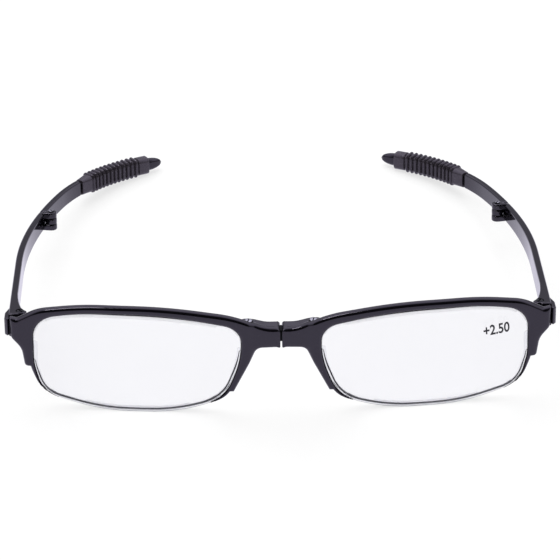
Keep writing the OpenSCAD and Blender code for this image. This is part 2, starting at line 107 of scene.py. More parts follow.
def newMaterial(look):
    material = bpy.data.materials.new(look["name"])
    material.use_nodes = True
    tree = material.node_tree
    tree.nodes.clear()
    space = addNode(tree, "ShaderNodeTexCoord").outputs["Object"]
    cloud = addNode(tree, "ShaderNodeTexNoise", inputs={
        "Vector": space, "Scale": 1 / (look["cloudMm"] * mm), "Detail": noise["cloudDetail"]})
    grain = addNode(tree, "ShaderNodeTexNoise", inputs={
        "Vector": space, "Scale": 1 / (look["grainMm"] * mm), "Detail": noise["grainDetail"]})
    tint = addNode(tree, "ShaderNodeMix", {"data_type": "RGBA"}, {"Factor": cloud.outputs["Fac"]})
    for index, name in ((6, "dark"), (7, "light")):  # the colour sockets of the mix
        tint.inputs[index].default_value = colour(look[name])
    rough = addNode(tree, "ShaderNodeMapRange", inputs={
        "Value": cloud.outputs["Fac"], "From Min": noise["low"], "From Max": noise["high"],
        "To Min": look["rough"][0], "To Max": look["rough"][1]})
    bump = addNode(tree, "ShaderNodeBump", inputs={
        "Height": grain.outputs["Fac"], "Strength": look["bump"], "Distance": look["bumpMm"] * mm})
    shader = addNode(tree, "ShaderNodeBsdfPrincipled", inputs={
        "Base Color": tint.outputs[2], "Roughness": rough.outputs["Result"],
        "Normal": bump.outputs["Normal"], "Metallic": look.get("metal", 0.0),
        "IOR": look.get("ior", 1.5), "Transmission Weight": look.get("clear", 0.0),
        "Specular Tint": colour(look.get("sheen", "#ffffff"))})
    surface = shader.outputs["BSDF"]
    if look.get("open"):  # a clear piece lets the light through to the floor
        shadow = addNode(tree, "ShaderNodeLightPath").outputs["Is Shadow Ray"]
        through = addNode(tree, "ShaderNodeBsdfTransparent")
        surface = addNode(tree, "ShaderNodeMixShader", inputs={
            "Fac": shadow, 1: surface, 2: through.outputs[0]}).outputs[0]
    addNode(tree, "ShaderNodeOutputMaterial", inputs={"Surface": surface})
    return material


looks = {
    # injection moulded plastic, polished tool: deep black with clear white reflections and a faint waviness
    "plastic": {"name": "gloss black plastic", "dark": "#060508", "light": "#0a090d",
                "cloudMm": 6.0, "grainMm": 1.6, "rough": (0.05, 0.1), "bump": 0.05, "bumpMm": 0.02,
                "ior": 1.52, "sheen": "#f3ebff"},
    # moulded thermoplastic rubber: a dull dark grey that catches broad soft light on its ribs
    "rubber": {"name": "satin rubber", "dark": "#29252b", "light": "#353137",
               "cloudMm": 1.5, "grainMm": 0.12, "rough": (0.2, 0.3), "bump": 0.25, "bumpMm": 0.02,
               "ior": 1.5, "sheen": "#f3ebff"},
    # cast acrylic lens: clear and nearly without colour, so the floor shows through it
    "lens": {"name": "clear lens resin", "dark": "#f1f1f4", "light": "#f4f4f7",
             "cloudMm": 20.0, "grainMm": 8.0, "rough": (0.0, 0.005), "bump": 0.0, "bumpMm": 0.001,
             "ior": 1.49, "clear": 1.0, "open": True},
    # ground lens edge: frosted, so it shows as a pale grey band inside the clear lens
    "edge": {"name": "ground lens edge", "dark": "#c4c5ca", "light": "#cfd0d5",
             "cloudMm": 3.0, "grainMm": 0.2, "rough": (0.5, 0.6), "bump": 0.1, "bumpMm": 0.01,
             "ior": 1.49},
    # milky strips of the lens face: at the bottom partly a fine ground bevel and partly painted contact
    # shade, under the brow painted shade of the rim; half clear, so both look slightly milky
    "bevelShade": {"name": "lens bevel and painted shade", "dark": "#e6e6ea", "light": "#ededf1",
              "cloudMm": 3.0, "grainMm": 0.2, "rough": (0.4, 0.5), "bump": 0.1, "bumpMm": 0.01,
              "ior": 1.49, "clear": 0.6},
    # drawn nylon line: a dark grey thread with a thin shine along it
    "cord": {"name": "smoked nylon line", "dark": "#141417", "light": "#1d1d21",
             "cloudMm": 2.0, "grainMm": 0.4, "rough": (0.25, 0.35), "bump": 0.05, "bumpMm": 0.01,
             "ior": 1.53},
    # blackened steel screws: dark metal with sharp small glints
    "steel": {"name": "blackened steel", "dark": "#17171a", "light": "#26262a",
              "cloudMm": 0.6, "grainMm": 0.15, "rough": (0.12, 0.2), "bump": 0.08, "bumpMm": 0.01,
              "metal": 1.0},
    # bright bare steel on the screw head's upper rings and cap: a painted glint, two bright spots beside the
    # slot
    "paintedGlint": {"name": "bright steel of a painted glint", "dark": "#96969b", "light": "#b2b2b7",
             "cloudMm": 0.6, "grainMm": 0.15, "rough": (0.2, 0.3), "bump": 0.08, "bumpMm": 0.01,
             "metal": 1.0},
    # enamelled steel of the fold leaves: black under a hard shine
    "enamel": {"name": "black enamelled steel", "dark": "#050506", "light": "#09090b",
               "cloudMm": 1.0, "grainMm": 0.3, "rough": (0.06, 0.12), "bump": 0.06, "bumpMm": 0.01,
               "ior": 1.55, "sheen": "#f3ebff"},
    # oxide coated steel of the link, black of its own and made extra dull so it also paints the shade deep in
    # its slot
    "oxideSlotShade": {"name": "black oxide steel dulled as painted slot shade", "dark": "#040405", "light": "#070708",
              "cloudMm": 1.0, "grainMm": 0.3, "rough": (0.4, 0.5), "bump": 0.06, "bumpMm": 0.01,
              "ior": 1.2},
    # pad printed ink: a flat black film
    "ink": {"name": "printed black ink", "dark": "#17171b", "light": "#222227",
            "cloudMm": 0.5, "grainMm": 0.1, "rough": (0.5, 0.6), "bump": 0.05, "bumpMm": 0.004},
}
materials = {name: newMaterial(look) for name, look in looks.items()}
print("materials made")


# Mesh helpers

# weld and sliver in metres, smooth and turns in degrees, the shares of an edge, a ring and a grid step
meshSize = {"weld": 1e-7, "sliver": 1e-8, "smooth": 35, "shortest": 1e-4, "turns": (25, 45, 65, 90),
            "edgeShare": 0.49, "ringShare": 0.93, "gridShare": 0.35}


def newPiece(name, vertices, faces, material, at, looksAt=None):
    mesh = bpy.data.meshes.new(name)
    mesh.from_pydata([at(*v) for v in vertices], [], faces)
    piece = bpy.data.objects.new(name, mesh)
    bpy.context.scene.collection.objects.link(piece)
    mesh.materials.append(materials[material])
    for i, (look, marked) in enumerate((looksAt or {}).items()):
        mesh.materials.append(materials[look])
        for k in marked:
            mesh.polygons[k].material_index = i + 1
    polish(piece)
    return piece


def polish(piece):
    work = bmesh.new()
    work.from_mesh(piece.data)
    bmesh.ops.remove_doubles(work, verts=work.verts, dist=meshSize["weld"])
    bmesh.ops.dissolve_degenerate(work, edges=work.edges, dist=meshSize["sliver"])
    bmesh.ops.recalc_face_normals(work, faces=work.faces)
    work.to_mesh(piece.data)
    work.free()
    piece.data.shade_smooth()
    piece.data.set_sharp_from_angle(angle=math.radians(meshSize["smooth"]))


def evenShading(piece):
    piece.modifiers.new("even shading", "WEIGHTED_NORMAL").keep_sharp = True


def combine(piece, other, how):
    step = piece.modifiers.new("combine", "BOOLEAN")
    step.operation = how
    step.solver = "EXACT"
    step.object = other
    depsgraph = bpy.context.evaluated_depsgraph_get()
    made = bpy.data.meshes.new_from_object(piece.evaluated_get(depsgraph))
    piece.modifiers.clear()
    piece.data = made
    bpy.data.objects.remove(other)
    polish(piece)


def joined(name, pieces):
    work = bmesh.new()
    for piece in pieces:
        work.from_mesh(piece.data)
    made = pieces[0]
    work.to_mesh(made.data)
    work.free()
    for piece in pieces[1:]:
        bpy.data.objects.remove(piece)
    made.name = name
    polish(made)
    return made


def fasten(piece, node, body):
    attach(piece, body)
    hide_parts(node)


def smoothStep(value, start, end):
    t = min(1.0, max(0.0, (value - start) / (end - start)))
    return t * t * (3 - 2 * t)


def heading(bend):
    turn = math.radians(bend)
    return Vector((math.cos(turn), math.sin(turn)))


def level(height):
    return lambda x, y: height


def box(low, high):
    return [Vector(low), Vector((high[0], low[1])), Vector(high), Vector((low[0], high[1]))]


def arcPoints(x, y, radius, start, end, count=16):
    turns = [math.radians(start + (end - start) * i / count) for i in range(count + 1)]
    return [Vector((x + radius * math.cos(t), y + radius * math.sin(t))) for t in turns]


def roundedOutline(corners, steps=10):
    # a round takes less than half of an edge
    points = []
    for i, (x, y, radius) in enumerate(corners):
        here = Vector((x, y))
        back = Vector(corners[i - 1][:2]) - here
        ahead = Vector(corners[(i + 1) % len(corners)][:2]) - here
        half = back.angle(ahead) / 2
        radius = min(radius, meshSize["edgeShare"] * min(back.length, ahead.length) * math.tan(half))
        if radius == 0:
            points.append(here)
            continue
        back.normalize()
        ahead.normalize()
        middle = here + (back + ahead).normalized() * radius / math.sin(half)
        first = here + back * radius / math.tan(half) - middle
        turn = math.pi - 2 * half
        if back.cross(ahead) > 0:
            turn = -turn
        points += [middle + Matrix.Rotation(turn * k / steps, 2) @ first for k in range(steps + 1)]
    return points


def insidePolygon(point, polygon):
    hit = False
    for i, b in enumerate(polygon):
        a = polygon[i - 1]
        if (a.y > point.y) == (b.y > point.y):
            continue
        if point.x < a.x + (point.y - a.y) * (b.x - a.x) / (b.y - a.y):
            hit = not hit
    return hit


def outlineOf(polygons, keep):
    # edge of the region where keep holds, cut out of the plane by the given polygons
    points, edges = [], []
    for polygon in polygons:
        start = len(points)
        points += polygon
        edges += [(start + i, start + (i + 1) % len(polygon)) for i in range(len(polygon))]
    found = delaunay_2d_cdt(points, edges, [], 0, 1e-6)
    border = {}
    for face in found[2]:
        if keep(sum((found[0][i] for i in face), Vector((0, 0))) / len(face)):
            for a, b in zip(face, face[1:] + face[:1]):
                if (b, a) in border:
                    del border[(b, a)]
                else:
                    border[(a, b)] = None
    follow = {}
    for a, b in border:
        follow[a] = b
    loops = []
    while follow:
        a = next(iter(follow))
        loop = []
        while a in follow:
            loop.append(found[0][a])
            a = follow.pop(a)
        loops.append(loop)
    return max(loops, key=len)


def spaced(loop, step):
    points = []
    for i, a in enumerate(loop):
        b = loop[(i + 1) % len(loop)]
        length = (b - a).length
        if length < meshSize["shortest"]:
            continue
        parts = max(1, math.ceil(length / step))
        points += [a.lerp(b, k / parts) for k in range(parts)]
    return points


def distanceTo(points, loop):
    p = numpy.array([tuple(v) for v in points])[:, None, :]
    a = numpy.array([tuple(v) for v in loop])[None, :, :]
    ab = numpy.roll(a, -1, axis=1) - a
    t = numpy.clip(((p - a) * ab).sum(2) / (ab * ab).sum(2), 0, 1)
    return numpy.sqrt((((p - a) - t[..., None] * ab) ** 2).sum(2)).min(1)


def plate(name, outline, low, high, size, material, at):
    # slab between two heights over an outline, with a round on both edges; a wall can carry a groove
    radius, step, grid = size["round"], size["step"], size["grid"]
    loop = spaced(outline, step)
    area = sum(loop[i - 1].cross(loop[i]) for i in range(len(loop)))
    if area < 0:
        loop.reverse()
    count = len(loop)
    normals = []
    for i in range(count):
        along = (loop[(i + 1) % count] - loop[i]).normalized() + (loop[i] - loop[i - 1]).normalized()
        normals.append(Vector((-along.y, along.x)).normalized())
    crisp = size.get("crisp")  # a smaller round near one end

    def roundAt(x):
        if not crisp:
            return radius
        return crisp["round"] + (radius - crisp["round"]) * smoothStep(x, crisp["from"], crisp["to"])

    rings = [1 - math.cos(math.radians(turn)) for turn in meshSize["turns"]] if radius else []
    bands = size.get("bands", (0,))
    extra = [(loop[i] + normals[i] * ring * roundAt(loop[i].x), ring * roundAt(loop[i].x))
             for ring in rings for i in range(count)]
    extra += [(loop[i] + normals[i] * band, band) for band in bands if band for i in range(count)]
    if extra:
        real = distanceTo([p for p, ring in extra], loop)
        extra = [p for (p, ring), d in zip(extra, real)
                 if d > meshSize["ringShare"] * ring and insidePolygon(p, loop)]
    lows = [min(p[k] for p in loop) for k in (0, 1)]
    highs = [max(p[k] for p in loop) for k in (0, 1)]
    across, upward = [1 + int((highs[k] - lows[k]) / grid) for k in (0, 1)]
    field = [Vector((lows[0] + grid * (i + 0.5 * (j % 2)), lows[1] + grid * j))
             for i in range(across) for j in range(upward)]
    room = max(radius, *bands) + meshSize["gridShare"] * grid
    field = [p for p, d in zip(field, distanceTo(field, loop)) if d > room and insidePolygon(p, loop)]
    found = delaunay_2d_cdt(loop + extra + field, [], [list(range(count))], 1, 1e-5)
    flat, faces = found[0], found[2]
    local = numpy.array([roundAt(p.x) for p in flat])
    reach = distanceTo(flat, loop)
    depth = numpy.minimum(reach, local)
    drop = local - numpy.sqrt(numpy.maximum(local ** 2 - (local - depth) ** 2, 0))
    near = [next(i for i, sources in enumerate(found[3]) if k in sources) for k in range(count)]
    total = len(flat)
    vertices = [(p.x, p.y, low(p.x, p.y) + d) for p, d in zip(flat, drop)]
    vertices += [(p.x, p.y, high(p.x, p.y) - d) for p, d in zip(flat, drop)]
    quads = [tuple(reversed(f)) for f in faces] + [tuple(i + total for i in f) for f in faces]
    looksAt = {}
    # the bevelShade strips paint shade: one at the bottom, partly real bevel and partly painted contact
    # shade, and one under the brow that paints the rim's shade
    if "bevelShade" in size:
        bevelShade = size["bevelShade"]  # a strip of the high face that narrows upward, one of the low face that widens
        under = [d + bevelShade["narrow"] * p.y < bevelShade["wide"] for p, d in zip(flat, reach)]
        brow = [d + bevelShade["fade"] * (highs[1] - p.y) < bevelShade["brow"] for p, d in zip(flat, reach)]
        strip = [len(faces) + i for i, f in enumerate(faces) if all(under[k] for k in f)]
        strip += [i for i, f in enumerate(faces) if all(brow[k] for k in f)]
        looksAt[bevelShade["look"]] = strip
    rows = [near]
    for share, offset in size.get("groove", ()):
        rows.append(list(range(len(vertices), len(vertices) + count)))
        for i in range(count):
            bottom, top = vertices[near[i]], vertices[near[i] + total]
            moved = loop[i] - normals[i] * offset * (loop[i].y < size["grooveTop"])
            vertices.append((moved.x, moved.y, bottom[2] + share * (top[2] - bottom[2])))
    rows.append([i + total for i in near])
    wall = size.get("wall", {"look": "", "rows": ()})
    marked = []
    for row, (lower, upper) in enumerate(zip(rows, rows[1:])):
        for i in range(count):
            k = (i + 1) % count
            if row in wall["rows"] and loop[i].y < wall["below"]:
                marked.append(len(quads))
            quads.append((lower[i], lower[k], upper[k], upper[i]))
    if marked:
        looksAt[wall["look"]] = marked
    return newPiece(name, vertices, quads, material, at, looksAt)


def sweep(name, rings, material, at, closed=False, looksAt=None):
    # skin over a row of rings with equal counts of points
    count = len(rings[0])
    vertices = [v for ring in rings for v in ring]
    faces = []
    last = len(rings) if closed else len(rings) - 1
    for j in range(last):
        below, above = j * count, ((j + 1) % len(rings)) * count
        for i in range(count):
            k = (i + 1) % count
            faces.append((below + i, below + k, above + k, above + i))
    if not closed:
        faces += [tuple(range(count)), tuple(reversed(range(len(vertices) - count, len(vertices))))]
    return newPiece(name, vertices, faces, material, at, looksAt)


def lathe(name, profile, material, at, count=32, looksAt=None):
    turns = [2 * math.pi * i / count for i in range(count)]
    rings = [[(radius * math.cos(t), radius * math.sin(t), z) for t in turns] for radius, z in profile]
    return sweep(name, rings, material, at, looksAt=looksAt)


def cutSeat(piece, size, low, at):
    seat = lathe("seat", [(size["radius"], low), (size["radius"], size["top"])], "plastic", at)
    combine(piece, seat, "DIFFERENCE")


# Frames of the two halves

def frontPlace(side):
    return lambda x, z, y: place(side * x, y, z)


def upPlace(side, x0=0.0, y0=0.0):
    return lambda x, y, z: place(side * (x0 + x), y0 + y, z)


def hingePlace(side):
    c, s = math.cos(hingeSize["slope"]), math.sin(hingeSize["slope"])
    x0, y0, z0 = hingeSize["x"], hingeSize["y"], hingeSize["z"]
    return lambda x, y, z: place(side * (x0 + x), y0 + y * c + z * s, z0 - y * s + z * c)


def foldPlace(side):
    at = hingePlace(side)
    c, s = math.cos(math.radians(bends["fold"])), math.sin(math.radians(bends["fold"]))
    pin = templePoint(bends["fold"], -leafSize["inside"])
    return lambda x, y, z: at(pin.x + x * c - y * s, pin.y + x * s + y * c, z)


def frontY(x):
    return frontSize["curve"] - math.sqrt(frontSize["curve"] ** 2 - x * x)


templeX = (templeSize["inner"] + templeSize["outer"]) / 2
longMiddle = Vector((templeX - templeSize["long"], templeSize["straight"]))
earMiddle = longMiddle + (templeSize["long"] - templeSize["ear"]) * heading(bends["long"])


def templePoint(bend, out):
    if bend < bends["long"]:
        return longMiddle + (templeSize["long"] + out) * heading(bend)
    return earMiddle + (templeSize["ear"] + out) * heading(bend)


# Front halves: upper rim, half bridge, end piece and thin tails along the lens

butt = {"round": 0.2, "from": 0.2, "to": 1.3}
rimSize = {"round": 0.8, "step": 0.5, "grid": 1.2, "crisp": butt}
blockSize = {"round": 0.4, "step": 0.5, "grid": 1.2, "crisp": butt,
             "front": 1.2, "back": 4.6, "leanFrom": 8.8, "leanTo": 11.0}
toolSize = {"round": 0.0, "step": 1.0, "grid": 5.0}
lugSize = {"round": 0.15, "step": 0.3, "grid": 1.0, "radius": 1.5, "half": 1.1, "reach": -3.6}
linkSize = {"round": 0.2, "step": 0.3, "grid": 1.0, "low": 1.2, "high": 1.95, "radius": 1.25, "play": 0.05}
slotSize = {"radius": 1.3, "inside": -1.0, "outside": 9.0, "front": 1.5, "back": 8.0}
pinSeat = {"radius": 1.25, "deep": 0.3, "top": 30.0}
setBack = {"deep": 0.6, "from": 6.2, "to": 7.8}
tailFade = 1.05  # a tail ends just inside the lens line
tailSize = {"temporal": {"move": Vector((1.1, 0.0)), "axis": 1, "full": 13.0, "gone": 1.0,
                         "low": (53.5, -2.0), "high": (66.0, 12.0)},
            "nasal": {"move": Vector((-0.8, -0.36)), "axis": 0, "full": 13.5, "gone": 18.8,
                      "low": (2.0, -2.0), "high": (19.0, 6.3)}}

lensOutline = roundedOutline([
    (9.6, 24.3, 5), (27.1, 28, 100), (47.1, 28, 60), (58.6, 25.6, 6.5), (59.0, 12.5, 16),
    (57.1, 3.9, 8), (43.1, 0, 45), (25.6, 0, 45), (13.75, 3.6, 11.2), (9.6, 15.3, 25)])
lensLine = spaced(lensOutline, rimSize["step"])
endX, endZ = frontSize["end"], frontSize["endZ"]
bridgeZ, bridgeTop, headZ = frontSize["bridgeZ"], frontSize["bridgeTop"], pivotSize["headZ"]
rimOutline = roundedOutline([
    (0.2, bridgeTop, 0.9), (3.85, bridgeTop + 0.2, 15), (11.1, 27.5, 34), (27.1, 29.99, 100),
    (47.1, 29.99, 60), (57.6, 28.2, 12), (62.6, endZ + 3.2, 1), (endX, endZ + 3.5, 0.3),
    (endX, endZ - 2, 2), (61.8, endZ - 5, 5), (61.2, 11.8, 0.9), (51.1, 11.8, 0), (17.6, 6.1, 0),
    (11.4, 6.1, 0.35), (5.7, bridgeZ - 0.2, 2), (0.2, bridgeZ, 0.4)])
bridgeShape = roundedOutline([
    (-1, bridgeZ - 5, 0), (11.1, bridgeZ - 5, 0), (11.1, headZ, 0), (7.0, headZ, 8),
    (3.6, bridgeTop, 8), (-1, bridgeTop, 0)])


def tailShape(size):
    # the lens line moved outward, by less and less towards the tail's end
    shape = []
    for p in lensLine:
        share = 1 - tailFade * smoothStep(p[size["axis"]], size["full"], size["gone"])
        shape.append(p + size["move"] * share)
    return shape


tailShapes = [tailShape(size) for size in tailSize.values()]
tailCuts = [box(size["low"], size["high"]) for size in tailSize.values()]


def inRim(p):
    pairs = zip(tailShapes, tailCuts)
    inTail = any(insidePolygon(p, cut) and insidePolygon(p, shape) for shape, cut in pairs)
    return (inTail or insidePolygon(p, rimOutline)) and not insidePolygon(p, lensOutline)


def inBlock(p):
    return inRim(p) and insidePolygon(p, bridgeShape)


rimLines = [rimOutline, lensOutline, *tailShapes, *tailCuts]
rimLoop = outlineOf(rimLines, inRim)
blockLoop = outlineOf([*rimLines, bridgeShape], inBlock)


def rimFace(x, z):
    return frontY(x) + setBack["deep"] * (1 - smoothStep(x, setBack["from"], setBack["to"]))


def rimBack(x, z):
    return rimFace(x, z) + frontSize["deep"]


def blockBack(x, z):
    lean = smoothStep(x, blockSize["leanFrom"], blockSize["leanTo"])
    return blockSize["back"] + (rimBack(x, z) - blockSize["back"]) * lean


def addFront(name, side):
    at = frontPlace(side)
    piece = plate(f"{name}_front_shell", rimLoop, rimFace, rimBack, rimSize, "plastic", at)
    block = plate("block", blockLoop, level(blockSize["front"]), blockBack, blockSize, "plastic", at)
    combine(piece, block, "UNION")
    lugRadius, half = lugSize["radius"], lugSize["half"]
    lugOutline = [Vector((-lugRadius, lugSize["reach"])), Vector((lugRadius, lugSize["reach"]))]
    lugOutline += arcPoints(0, 0, lugRadius, 0, 180)
    lug = plate("lug", lugOutline, level(-half), level(half), lugSize, "plastic", hingePlace(side))
    combine(piece, lug, "UNION")
    slotOutline = [Vector((slotSize["inside"], slotSize["front"]))]
    slotOutline += arcPoints(pivotSize["x"], pivotSize["y"], slotSize["radius"], -90, 0)
    slotOutline += [Vector((slotSize["outside"], slotSize["back"]))]
    slotOutline += [Vector((slotSize["inside"], slotSize["back"]))]
    slotLow = pivotSize["linkZ"] - linkSize["low"] - linkSize["play"]
    slotHigh = pivotSize["linkZ"] + linkSize["high"] + linkSize["play"]
    slot = plate("slot", slotOutline, level(slotLow), level(slotHigh), toolSize, "plastic", upPlace(side))
    combine(piece, slot, "DIFFERENCE")
    cutSeat(piece, pinSeat, headZ - pinSeat["deep"], upPlace(side, pivotSize["x"], pivotSize["y"]))
    evenShading(piece)
    fasten(piece, f"{name}_front_frame", f"{name}_front")


for name, side in sides.items():
    addFront(name, side)
print("fronts made")


# Lenses, their cords and the printed power

lensEdge = {"round": 0.15, "step": 0.5, "grid": 2.5, "bands": (0.4, 0.8, 1.2), "play": 0.02,
            "wall": {"look": "edge", "below": 4.0, "rows": (0, 2, 3, 4)},
            # bevelShade: milky strips of painted shade under the brow, and at the bottom partly a real bevel
            "bevelShade": {"look": "bevelShade", "narrow": 0.35, "wide": 1.5, "fade": 0.15, "brow": 1.3},
            "grooveTop": 18.6, "groove": ((0.28, 0), (0.3, -0.9), (0.46, -0.9), (0.48, 0))}
cordSize = {"radius": 0.2, "count": 12, "behind": 1.25, "inset": 0.62,
            "lip": -0.05, "lipFrom": 0.3, "lipTo": 3.5, "nasalZ": 18.8, "temporalZ": 14.5,
            "nasalLean": 10.0, "temporalLean": 5.0, "lean": 0.4, "thin": 0.13, "thinRun": 7.0,
            "turnIn": 1.5, "outside": -0.7}
markSize = {"text": "+2.50", "x": 51.2, "z": 20.7, "tall": 2.7, "capital": 0.7, "narrow": 0.72,
            "turn": 4.5, "bold": 0.09, "film": 0.01}
lensMiddle = Vector(((lensSize["nasal"] + lensSize["temporal"]) / 2, lensSize["top"] / 2))
faceForm = math.asin(lensMiddle.x / frontSize["curve"])


def lensDepth(x, z, back):
    # a point's depth comes from its place across the tilted lens, which depends on the depth
    across = (x - lensMiddle.x) / math.cos(faceForm)
    deep = lensSize["thick"] - lensSize["bulge"]
    for repeat in range(3):
        if not back:
            reach = lensSize["dome"] ** 2 - across ** 2 - (z - lensMiddle.y) ** 2
            deep = lensSize["dome"] - lensSize["bulge"] - math.sqrt(reach)
        across = (x - lensMiddle.x + deep * math.sin(faceForm)) / math.cos(faceForm)
    return frontY(lensMiddle.x) + across * math.sin(faceForm) + deep * math.cos(faceForm)


def addLens(name, side):
    outline = [p + (lensMiddle - p).normalized() * lensEdge["play"] for p in lensOutline]
    piece = plate(f"{name}_lens_resin", outline, lambda x, z: lensDepth(x, z, False),
                  lambda x, z: lensDepth(x, z, True), lensEdge, "lens", frontPlace(side))
    fasten(piece, f"{name}_lens", f"{name}_front")


def addCord(name, side):
    size = cordSize
    start = max(range(len(lensLine)), key=lambda i: lensLine[i].y)
    line = lensLine[start:] + lensLine[:start]
    turns = [2 * math.pi * k / size["count"] for k in range(size["count"])]
    deep = Vector((0, 0, 1))
    rings = []
    for i, p in enumerate(line):
        end = "temporal" if p.x > lensMiddle.x else "nasal"
        limit = size[end + "Z"]
        if p.y >= limit:
            continue
        along = (line[(i + 1) % len(line)] - line[i - 1]).normalized()
        inward = Vector((along.y, -along.x))
        inset = size["inset"] + size["lip"] * smoothStep(p.y, size["lipFrom"], size["lipTo"])
        inset *= 1 - size["lean"] * smoothStep(p.y, size[end + "Lean"], limit)
        turnIn = smoothStep(p.y, limit - size["turnIn"], limit)  # the ends enter holes in the rim
        spot = p + inward * (inset + turnIn * (size["outside"] - inset))
        radius = size["radius"] - size["thin"] * smoothStep(p.y, limit - size["thinRun"], limit)
        centre = Vector((spot.x, spot.y, frontY(spot.x) + size["behind"]))
        across = Vector((inward.x, inward.y, 0))
        rings.append([tuple(centre + radius * (math.cos(t) * across + math.sin(t) * deep)) for t in turns])
    piece = sweep(f"{name}_cord_line", rings, "cord", frontPlace(side))
    fasten(piece, f"{name}_lens_cord", f"{name}_front")


def addMark(size):
    text = bpy.data.curves.new("mark", "FONT")
    text.body = size["text"]
    text.align_x = "CENTER"
    text.align_y = "CENTER"
    text.extrude = size["film"]
    text.offset = size["bold"]
    text.size = size["tall"] / size["capital"]  # capitals fill about 0.7 of the type size
    holder = bpy.data.objects.new("mark", text)
    bpy.context.scene.collection.objects.link(holder)
    depsgraph = bpy.context.evaluated_depsgraph_get()
    shape = bpy.data.meshes.new_from_object(holder.evaluated_get(depsgraph))
    bpy.data.objects.remove(holder)
    turn = Matrix.Rotation(math.radians(size["turn"]), 2)
    vertices = []
    for v in shape.vertices:
        spot = Vector((size["x"], size["z"])) + turn @ Vector((v.co.x * size["narrow"], v.co.y))
        vertices.append((spot.x, spot.y, lensDepth(spot.x, spot.y, False) - size["film"] - v.co.z))
    faces = [tuple(f.vertices) for f in shape.polygons]
    piece = newPiece("right_lens_mark", vertices, faces, "ink", frontPlace(1))
    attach(piece, "right_front")


for name, side in sides.items():
    addLens(name, side)
    addCord(name, side)
addMark(markSize)
print("lenses made")


# Temples

bladeSize = {"round": 0.4, "step": 0.6, "grid": 1.5,
             "rootHalf": 3.0, "foldHalf": 2.1, "gripHalf": 2.0, "flare": 10.0}
rootSize = {"radius": 1.5, "turnTo": 278, "cheek": 0.2, "front": -2.0}
rootInner = [(templeSize["inner"], 11), (1.0, 10), (0.87, 8), (0.65, 6), (0.3, 4), (-0.2, 2), (-0.85, 0.8)]
roomSize = {"radius": 1.65, "far": -6.0, "half": 1.175}
rootSeat = {"radius": 1.11, "low": 2.37, "top": 6.0}
tabSize = {"round": 0.3, "step": 0.3, "grid": 0.8, "low": -1.8, "high": 2.6}
tabOutline = roundedOutline([
    (2.5, -3.3, 0.2), (2.9, -3.8, 0.2), (3.1, -3.8, 0.2), (3.7, -3.0, 0.5), (3.7, 0, 1),
    (2.75, 3, 0), (2.3, 3, 0), (2.3, -1.9, 0), (2.5, -1.9, 0)], 4)
foldGap = 0.068  # half the split at the fold, in degrees of bend
noseSize = {"long": 4.2, "thick": 2.3, "tall": 3.4, "round": 1.1, "from": 0.05, "rings": 12, "blunt": 0.004}
coreSize = {"thick": 1.5, "tall": 2.6, "round": 0.5, "into": 1.0, "rings": 31, "count": 32}
gripSize = {"thick": 3.5, "tall": 4.6, "round": 1.2, "count": 48, "collar": 5.2, "end": 4.0,
            "ribs": 12, "rib": 0.3, "groove": -0.34, "ribParts": 9, "ribShare": 0.66, "ribGap": 0.25,
            "mouthThick": 2.3, "mouthTall": 4.1, "mouthGap": 0.6, "endGap": 0.1,
            "play": 0.06, "boreRings": 15,
            "mouthEdge": ((0.0, -0.25), (0.0, -0.08), (0.1, 0.0)),
            "endEdge": ((-0.35, 0.0), (-0.15, -0.06), (0.0, -0.22))}
foldY = templePoint(bends["fold"], 0).y
gripY = templePoint(bends["gripFrom"], 0).y


def bladeHalf(x, y):
    if y < bladeSize["flare"]:
        return bladeSize["rootHalf"]
    if y < foldY:
        share = (y - bladeSize["flare"]) / (foldY - bladeSize["flare"])
        return bladeSize["rootHalf"] + share * (bladeSize["foldHalf"] - bladeSize["rootHalf"])
    share = min(1, (y - foldY) / (gripY - foldY))
    return bladeSize["foldHalf"] + share * (bladeSize["gripHalf"] - bladeSize["foldHalf"])


def bandOutline(start, end):
    half = templeSize["thick"] / 2
    count = math.ceil(end - start)
    turns = [start + (end - start) * i / count for i in range(count + 1)]
    return [templePoint(t, half) for t in turns] + [templePoint(t, -half) for t in reversed(turns)]


def newBlade(name, outline, at):
    return plate(name, outline, lambda x, y: -bladeHalf(x, y), bladeHalf, bladeSize, "plastic", at)


def addTempleFront(name, side):
    at = hingePlace(side)
    front, radius, far, half = rootSize["front"], roomSize["radius"], roomSize["far"], roomSize["half"]
    outline = arcPoints(0, 0, rootSize["radius"], 180, rootSize["turnTo"])
    outline += [Vector((rootSize["cheek"], front)), Vector((templeSize["outer"], front))]
    outline += bandOutline(0, bends["fold"] - foldGap)
    outline += [Vector(p) for p in rootInner]
    piece = newBlade(f"{name}_temple_blade", outline, at)
    tab = plate("tab", tabOutline, level(tabSize["low"]), level(tabSize["high"]), tabSize, "plastic", at)
    combine(piece, tab, "UNION")
    room = [Vector((far, far)), Vector((radius, far)), *arcPoints(0, 0, radius, 0, 90), Vector((far, radius))]
    space = plate("space", room, level(-half), level(half), toolSize, "plastic", at)
    combine(piece, space, "DIFFERENCE")
    cutSeat(piece, rootSeat, rootSeat["low"], at)
    evenShading(piece)
    fasten(piece, f"{name}_temple_front", f"{name}_temple")


def section(thick, tall, radius, count):
    # points of a rounded rectangle, evenly numbered from its outer side
    corners = [(p.x, p.y, radius) for p in box((-thick / 2, -tall / 2), (thick / 2, tall / 2))]
    return roundedOutline(corners[1:] + corners[:1], count // 4 - 1)


def earRing(bend, thick, tall, radius, count, ahead=0.0):
    out = heading(bend)
    middle = earMiddle + templeSize["ear"] * out + Vector((-out.y, out.x)) * ahead
    outline = section(thick, tall, radius, count)
    return [(middle.x + p.x * out.x, middle.y + p.x * out.y, p.y) for p in outline]


